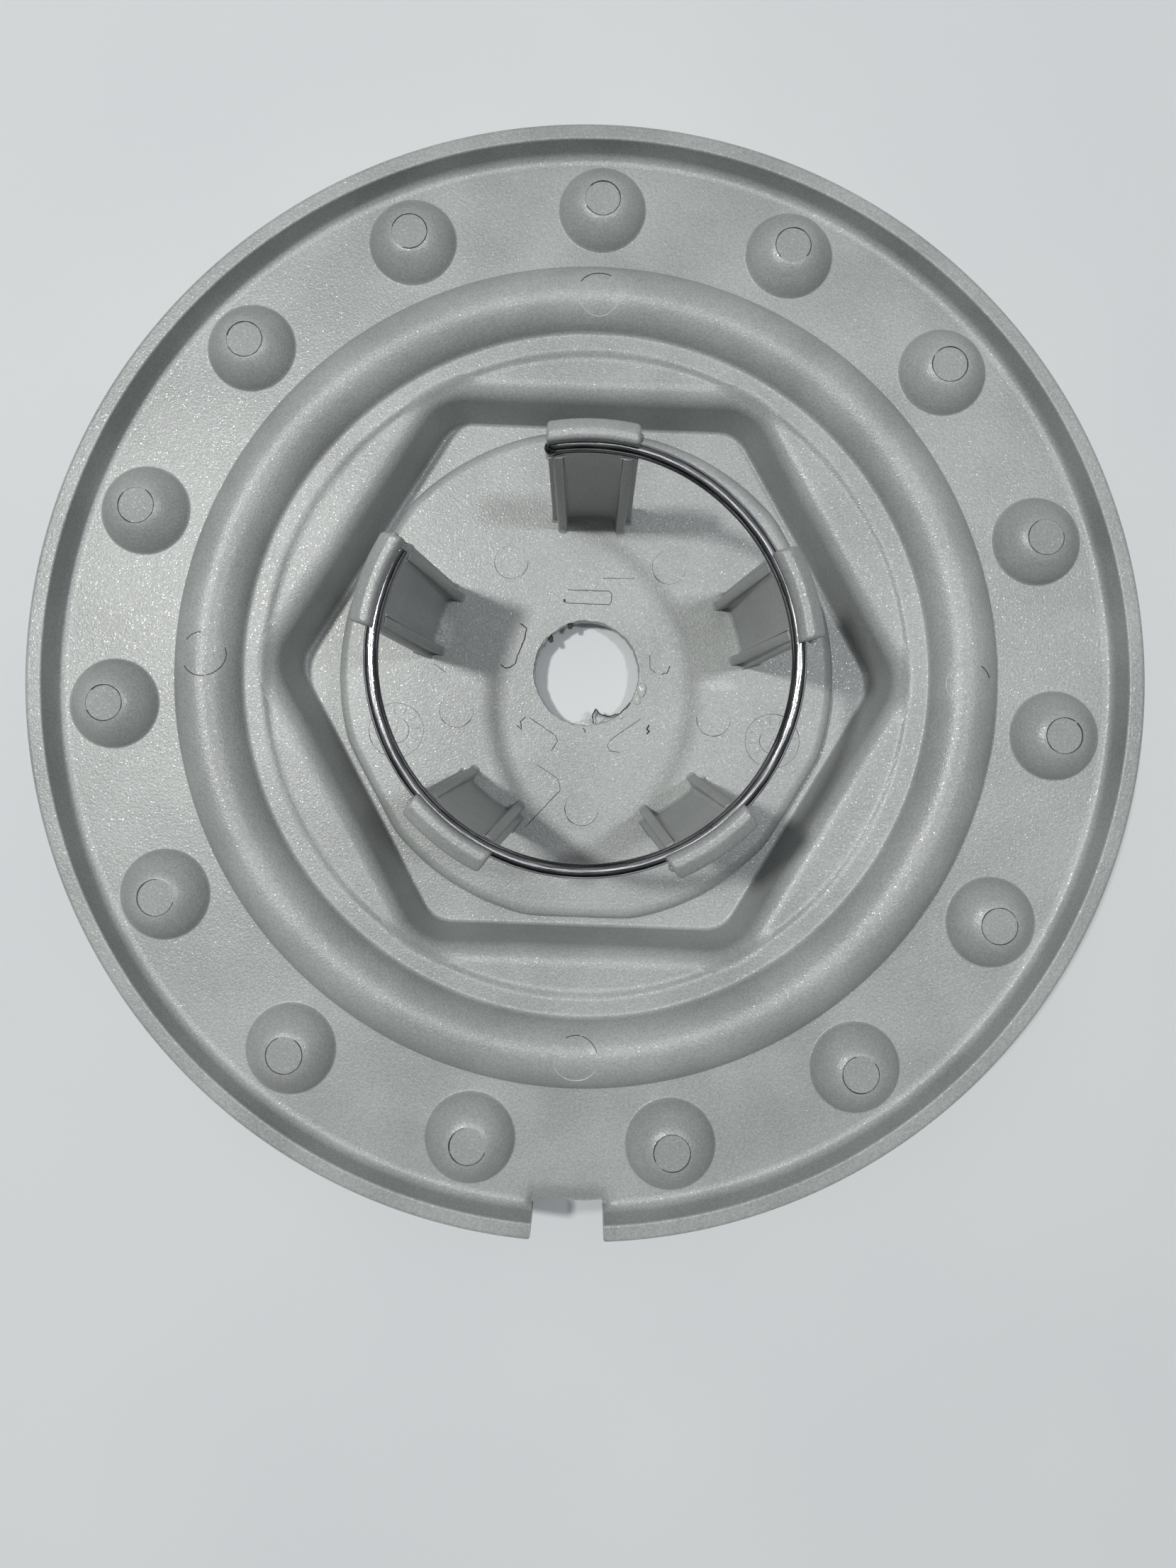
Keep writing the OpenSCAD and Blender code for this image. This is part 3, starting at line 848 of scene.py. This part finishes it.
def plateLines():
    h = plate["top"]
    parts = []
    for line, width, slot in plateScratches:
        pts = filled(line)
        path = [(x + 0.06 * wobble(x, y, 0, 2.3, 1.0), y + 0.06 * wobble(x, y, 5, 2.3, 8.0), h - 0.01)
                for x, y in pts]
        radii = [width * (0.75 + 0.7 * abs(wobble(x, y, 9, 1.9, 3.0))) for x, y in pts]
        parts.append((*tube(path, radii), slot))
    # outlines of the ejector marks and dials, partly painted shade in the gap and partly a pale painted
    # highlight on the edge
    for k, (cx, cy) in enumerate(plateMarks):
        shift = 60 * wobble(k, 3.3, 1.2, 1.0, 7.0)
        for low, high, width, slot in ((165, 345, 0.045, dark), (-10, 120, 0.03, pale)):
            line = arcLine(cx, cy, plate["mark"] - 0.02, low + shift, high + shift, h - 0.01)
            radii = [width * (0.35 + 1.6 * abs(wobble(x, y, k, 0.8, 2.0))) for x, y, z in line]
            parts.append((*tube(line, radii), slot))
    for (cx, cy), pointer in zip(plate["dials"], (75, 60)):
        for radius, low, high in ((plate["dialRadius"] - 0.02, 20, 380), (plate["dialInner"], 150, 420)):
            line = arcLine(cx, cy, radius, low, high, h - 0.02, 60)
            radii = [0.02 + 0.05 * abs(wobble(x, y, 2, 0.5, 5.0)) for x, y, z in line]
            parts.append((*tube(line, radii), dark))
        # ticks round the dial and the pointer in its middle
        bars = [(30 * k + 8, (2.35, 3.0, 3.55), h - 0.03) for k in range(12)]
        for degrees, reaches, height in bars + [(pointer, (-1.2, 0.0, 1.2), h)]:
            places = [onCircle(r, degrees) for r in reaches]
            parts.append((*tube([(cx + x, cy + y, height) for x, y in places], 0.07), plastic))
    # whitened plastic at the feet of two clips
    foot = [(x, y, h + 0.05) for x, y in ((5.1, 20.9), (4.75, 20.62), (4.2, 20.42), (3.6, 20.38))]
    inner = clip["foot"] - 0.36
    seam = [(*spin(math.sqrt(inner ** 2 - v * v), v, -126), h + 0.06) for v in np.linspace(-3.3, 3.3, 12)]
    return parts + [(*tube(foot, 0.09), melted), (*tube(seam, 0.07), melted)]


def torn(outline, height, thick, seed, curl):
    # a torn flake: a crumpled sheet with a ragged edge
    cx, cy = np.mean(outline, axis=0)
    ring = []
    for x, y in filled(outline + outline[:1], 4)[:-1]:
        ring.append((x + 0.09 * wobble(x, y, 0, 3.1, seed), y + 0.09 * wobble(x, y, 7, 3.1, seed)))
    levels = [1.0, 0.66, 0.33]
    vertices, faces = [], []
    n = len(ring)
    for side in (1, -1):
        for f in levels:
            for x, y in ring:
                x, y = cx + (x - cx) * f, cy + (y - cy) * f
                lift = curl * wobble(x, y, 3, 0.8, seed) + 0.25 * wobble(x, y, 1, 2.2, seed)
                vertices.append((x, y, height + lift + side * thick * (0.5 if f < 1 else 0.25)))
        vertices.append((cx, cy, height + curl * wobble(cx, cy, 3, 0.8, seed) + side * thick * 0.5))
    block = len(levels) * n + 1
    for base in (0, block):
        for k in range(len(levels) - 1):
            a, b = base + k * n, base + (k + 1) * n
            faces += band(b, a, n, True) if base else band(a, b, n, True)
        middle = base + block - 1
        for i in range(n):
            a, b = middle - n + i, middle - n + (i + 1) % n
            faces.append((middle, b, a) if base else (a, b, middle))
    return vertices, faces + band(0, block, n)


# the edge of the drilled hole: melted beads, torn flakes and burr lines;
# a bead is (place, half sizes, seed, rings, sides)
holeBeads = (
    ((8.15, -2.15, 0.05), (0.75, 1.0, 0.55), 2.0, 12, 18),
    ((7.55, -3.7, -0.05), (0.5, 0.75, 0.4), 5.0, 12, 18),
    ((5.3, -6.15, -0.05), (0.42, 0.4, 0.3), 8.0, 8, 12),
)
# (outline counter-clockwise, depth under the plate's top, thickness, seed, curl, slot); the two dark flakes
# carry painted shade of the torn edge
holeFlakes = (
    ([(1.2, -8.0), (2.6, -7.9), (4.2, -7.1), (5.3, -6.2), (5.1, -5.7), (4.3, -6.0), (3.6, -6.2), (2.9, -6.3),
      (2.1, -5.7), (1.5, -5.1), (1.1, -5.9), (0.9, -6.4)], 1.2, 0.3, 11.0, 0.7, plastic),
    ([(-1.2, -7.9), (0.7, -8.1), (1.2, -7.3), (0.9, -6.6), (0.3, -6.9), (-0.3, -6.7), (-0.9, -7.1)],
     1.6, 0.25, 4.0, 0.4, melted),
    ([(-6.2, 5.2), (-5.5, 4.3), (-5.0, 4.5), (-5.1, 5.2), (-5.6, 5.9)], 0.7, 0.2, 6.0, 0.3, dark),
    ([(-3.1, 7.3), (-2.9, 6.5), (-2.4, 6.5), (-2.1, 7.4)], 0.7, 0.2, 9.0, 0.3, dark),
)
# (points, half width, slot); dark lines are painted shade along the torn edge, pale ones whitening and
# painted highlight on it
holeBurrs = (
    ([(1.3, -7.4), (1.1, -6.2), (1.5, -5.2), (2.2, -5.9), (3.3, -6.25), (4.2, -6.0), (5.2, -5.7), (6.0, -4.9),
      (6.6, -4.2)], 0.12, dark),
    ([(6.8, 4.0), (7.6, 2.2), (7.95, 0.4), (7.95, -0.9)], 0.07, pale),
    ([(-5.9, 5.2), (-6.6, 4.2), (-7.2, 3.0), (-7.7, 1.0), (-7.75, -1.0)], 0.05, dark),
    ([(-4.8, -6.3), (-3.2, -7.2), (-1.2, -7.8), (1.0, -7.8), (3.0, -7.3), (4.9, -6.4)], 0.06, melted),
    ([(-7.9, 2.4), (-7.6, 2.1), (-7.8, 1.8)], 0.09, pale),
)


def holeDamage():
    h = plate["top"]
    parts = []
    for (x, y, lift), size, seed, rings, sides in holeBeads:
        parts.append((*blob((x, y, h + lift), size, seed, rings, sides), melted))
    for outline, depth, thick, seed, curl, slot in holeFlakes:
        parts.append((*torn(outline, h - depth, thick, seed, curl), slot))
    for line, width, slot in holeBurrs:
        pts = filled(line, 6)
        path = [(x + 0.1 * wobble(x, y, 0, 2.1, 2.0), y + 0.1 * wobble(x, y, 4, 2.1, 7.0),
                 h + 0.02 + 0.12 * wobble(x, y, 8, 1.6, 5.0)) for x, y in pts]
        radii = [width * (0.5 + 1.1 * abs(wobble(x, y, 2, 2.6, 6.0))) for x, y in pts]
        parts.append((*tube(path, radii, 7), slot))
    return parts


plateParts = [(*buildPlate(), plastic)] + [(*buildClip(degrees), plastic) for degrees in clip["angles"]]
plateSkin = makePiece("clipPlateSkin", plateParts + clipEars() + plateLines() + holeDamage(),
                      [clipPlastic, paintedShadeLine, whiteningAndPaintedHighlight, meltedPlastic], 38)
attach(plateSkin, "root")
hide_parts("clip_plate")
print("clip plate made", sum(len(q.vertices) - 2 for q in plateSkin.data.polygons))


# the spring wire

wire = {
    "circle": 25.02, "centre": (-0.07, 0.0), "radius": 0.88, "height": 40.4, "start": 151.8, "end": 459.1,
    "bend": 0.95, "leg": 3.0,
    # how far the wire leaves its circle: (degrees, outwards)
    "outOfRound": ((152, 0.1), (190, 0.08), (250, -0.06), (330, -0.03), (360, 0.0), (390, -0.12), (408, -0.1),
                   (425, 0.04), (440, 0.1), (460, 0.1)),
    "bright": grey(206, 208, 211), "dull": grey(128, 130, 133), "pit": grey(70, 68, 66),
    # painted reflection: its dark sides, which stand for the dark room reflected there, turn bright between
    # these two heights over its middle
    "sides": grey(50, 50, 52), "paintedShadeTo": 0.18, "paintedShadeEndsAt": 0.62,
}


def wireMaterial():
    w = wire
    p = Paint(bpy.data.materials.new("springWire"))
    x, y, z = p.axes()
    turn = p.node("ShaderNodeMath", {"operation": "ARCTAN2"}, {0: y, 1: x})
    away = ((x * x + y * y) ** 0.5) * 8
    along = p.node("ShaderNodeCombineXYZ", {}, {"X": turn * 6, "Y": away, "Z": z * 8})
    streak = p.node("ShaderNodeTexNoise", {},
                    {"Vector": along, "Scale": 1.0, "Detail": 4.0, "Roughness": 0.6}, "Fac")
    pits = p.noise(0.5, 3, 0.6)
    colour = p.mix(streak.ramp(0.38, 0.62), w["dull"], w["bright"])
    colour = p.mix(pits.ramp(0.62, 0.72) * 0.5, colour, w["pit"])
    # painted reflection: the wire's sides are painted dark below these heights
    colour = p.mix(z.ramp(w["height"] + w["paintedShadeTo"], w["height"] + w["paintedShadeEndsAt"]), w["sides"], colour)
    p.set(Base_Color=colour, Metallic=1.0, Roughness=0.05 + streak * 0.11,
          Normal=p.bump(streak, 0.03, 0.5, p.bump(pits, 0.01, 0.5)))
    return p.owner


def wirePath():
    # from the cut end, which is a little narrower, round the clips and down through the bend
    w = wire
    path = []
    for degrees in np.linspace(w["start"], w["end"], 420):
        x, y = onCircle(w["circle"] + float(np.interp(degrees, *np.transpose(w["outOfRound"]))), degrees)
        path.append(Vector((w["centre"][0] + x, w["centre"][1] + y, w["height"])))
    last = math.radians(w["end"])
    heading, down = Vector((-math.sin(last), math.cos(last), 0)), Vector((0, 0, -1))
    corner = path[-1].copy()
    for t in np.radians(np.linspace(0, 90, 15)[1:]):
        path.append(corner + heading * (w["bend"] * math.sin(t)) + down * (w["bend"] * (1 - math.cos(t))))
    foot = path[-1].copy()
    path += [foot + down * (w["leg"] * k / 5) for k in range(1, 6)]
    start = path[0].copy()
    back = (start - path[1]).normalized()
    radii = [w["radius"] * share for share in [0.8, 0.94] + [1.0] * len(path)]
    return [start + back * 0.1, start + back * 0.07] + path, radii


wireSkin = makePiece("springWireSkin", [(*tube(*wirePath(), 28, True), 0)], [wireMaterial()], 50, False)
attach(wireSkin, "root")
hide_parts("retaining_ring")
print("wire made", sum(len(q.vertices) - 2 for q in wireSkin.data.polygons))


# paper, light and camera

studio = {
    "paper": grey(226, 229, 231), "paperShade": grey(223, 226, 229),
    # (name, direction, distance, size, power, colour)
    "lamps": (("leftLamp", (-12.2, 4.0, 35.2), 1.0, 0.07, 4.8, (1.0, 1.0, 0.965)),
              ("rightLamp", (10.0, 2.9, 35.2), 1.0, 0.07, 2.1, (0.965, 0.975, 1.0)),
              ("softFill", (-0.05, 0.1, 1.0), 1.2, 0.5, 0.7, (1, 1, 1))),
    # the room: its strength, how much less there is of it on the side the picture is taken from, and
    # (height, level) from the floor up
    "sky": 0.27, "frontShade": 0.85,
    "levels": ((0, 0.04), (0.3, 0.16), (0.6, 0.48), (0.85, 0.9), (0.97, 0.75)),
}

bpy.ops.mesh.primitive_grid_add(x_subdivisions=2, y_subdivisions=2, size=3.0, location=(0, 0, -0.0001))
paper = bpy.context.object
paper.name = "paperSheet"
p = Paint(bpy.data.materials.new("paper"))
p.set(Base_Color=p.mix(p.noise(60, 2).ramp(0.3, 0.7), studio["paperShade"], studio["paper"]), Roughness=0.85,
      Normal=p.bump(p.noise(1.6, 4, 0.6), 0.06, 0.4))
paper.data.materials.append(p.owner)

for name, direction, distance, size, power, colour in studio["lamps"]:
    light = bpy.data.lights.new(name, "AREA")
    light.shape = "DISK"
    light.size = size
    light.energy = power
    light.color = colour
    lamp = bpy.data.objects.new(name, light)
    bpy.context.scene.collection.objects.link(lamp)
    aim = Vector(direction).normalized()
    lamp.location = aim * distance
    lamp.rotation_euler = aim.to_track_quat("Z", "Y").to_euler()

room = Paint(bpy.data.worlds.new("studioRoom"), "Background", "Generated")
bpy.context.scene.world = room.owner
x, y, z = room.channels("ShaderNodeSeparateXYZ", room.place)
stops = [(height, (level, level, level * 1.02, 1)) for height, level in studio["levels"]]
sky = studio["sky"]
room.set(Color=room.node("ShaderNodeValToRGB", {"stops": stops}, {0: z}),
         Strength=(y * (sky * studio["frontShade"]) + sky * 0.9).atLeast(sky * 0.1))

view = {
    # millimetres and degrees
    "place": (0.47, -9.72, 177.77), "turn": (3.1518, -0.2979, 1.9749),
    "lens": 27.05, "shift": (-0.0035, -0.0697),
}
camera = bpy.data.cameras.new("photoCamera")
cameraHolder = bpy.data.objects.new("photoCamera", camera)
bpy.context.scene.collection.objects.link(cameraHolder)
cameraHolder.location = [v * 0.001 for v in view["place"]]
cameraHolder.rotation_euler = [math.radians(v) for v in view["turn"]]
camera.sensor_fit = "VERTICAL"
camera.sensor_height = 36
camera.lens = view["lens"]
camera.shift_x, camera.shift_y = view["shift"]
camera.clip_start = 0.005
camera.dof.use_dof = False
bpy.context.scene.camera = cameraHolder
bpy.context.scene.view_settings.view_transform = "Standard"
print("studio set")
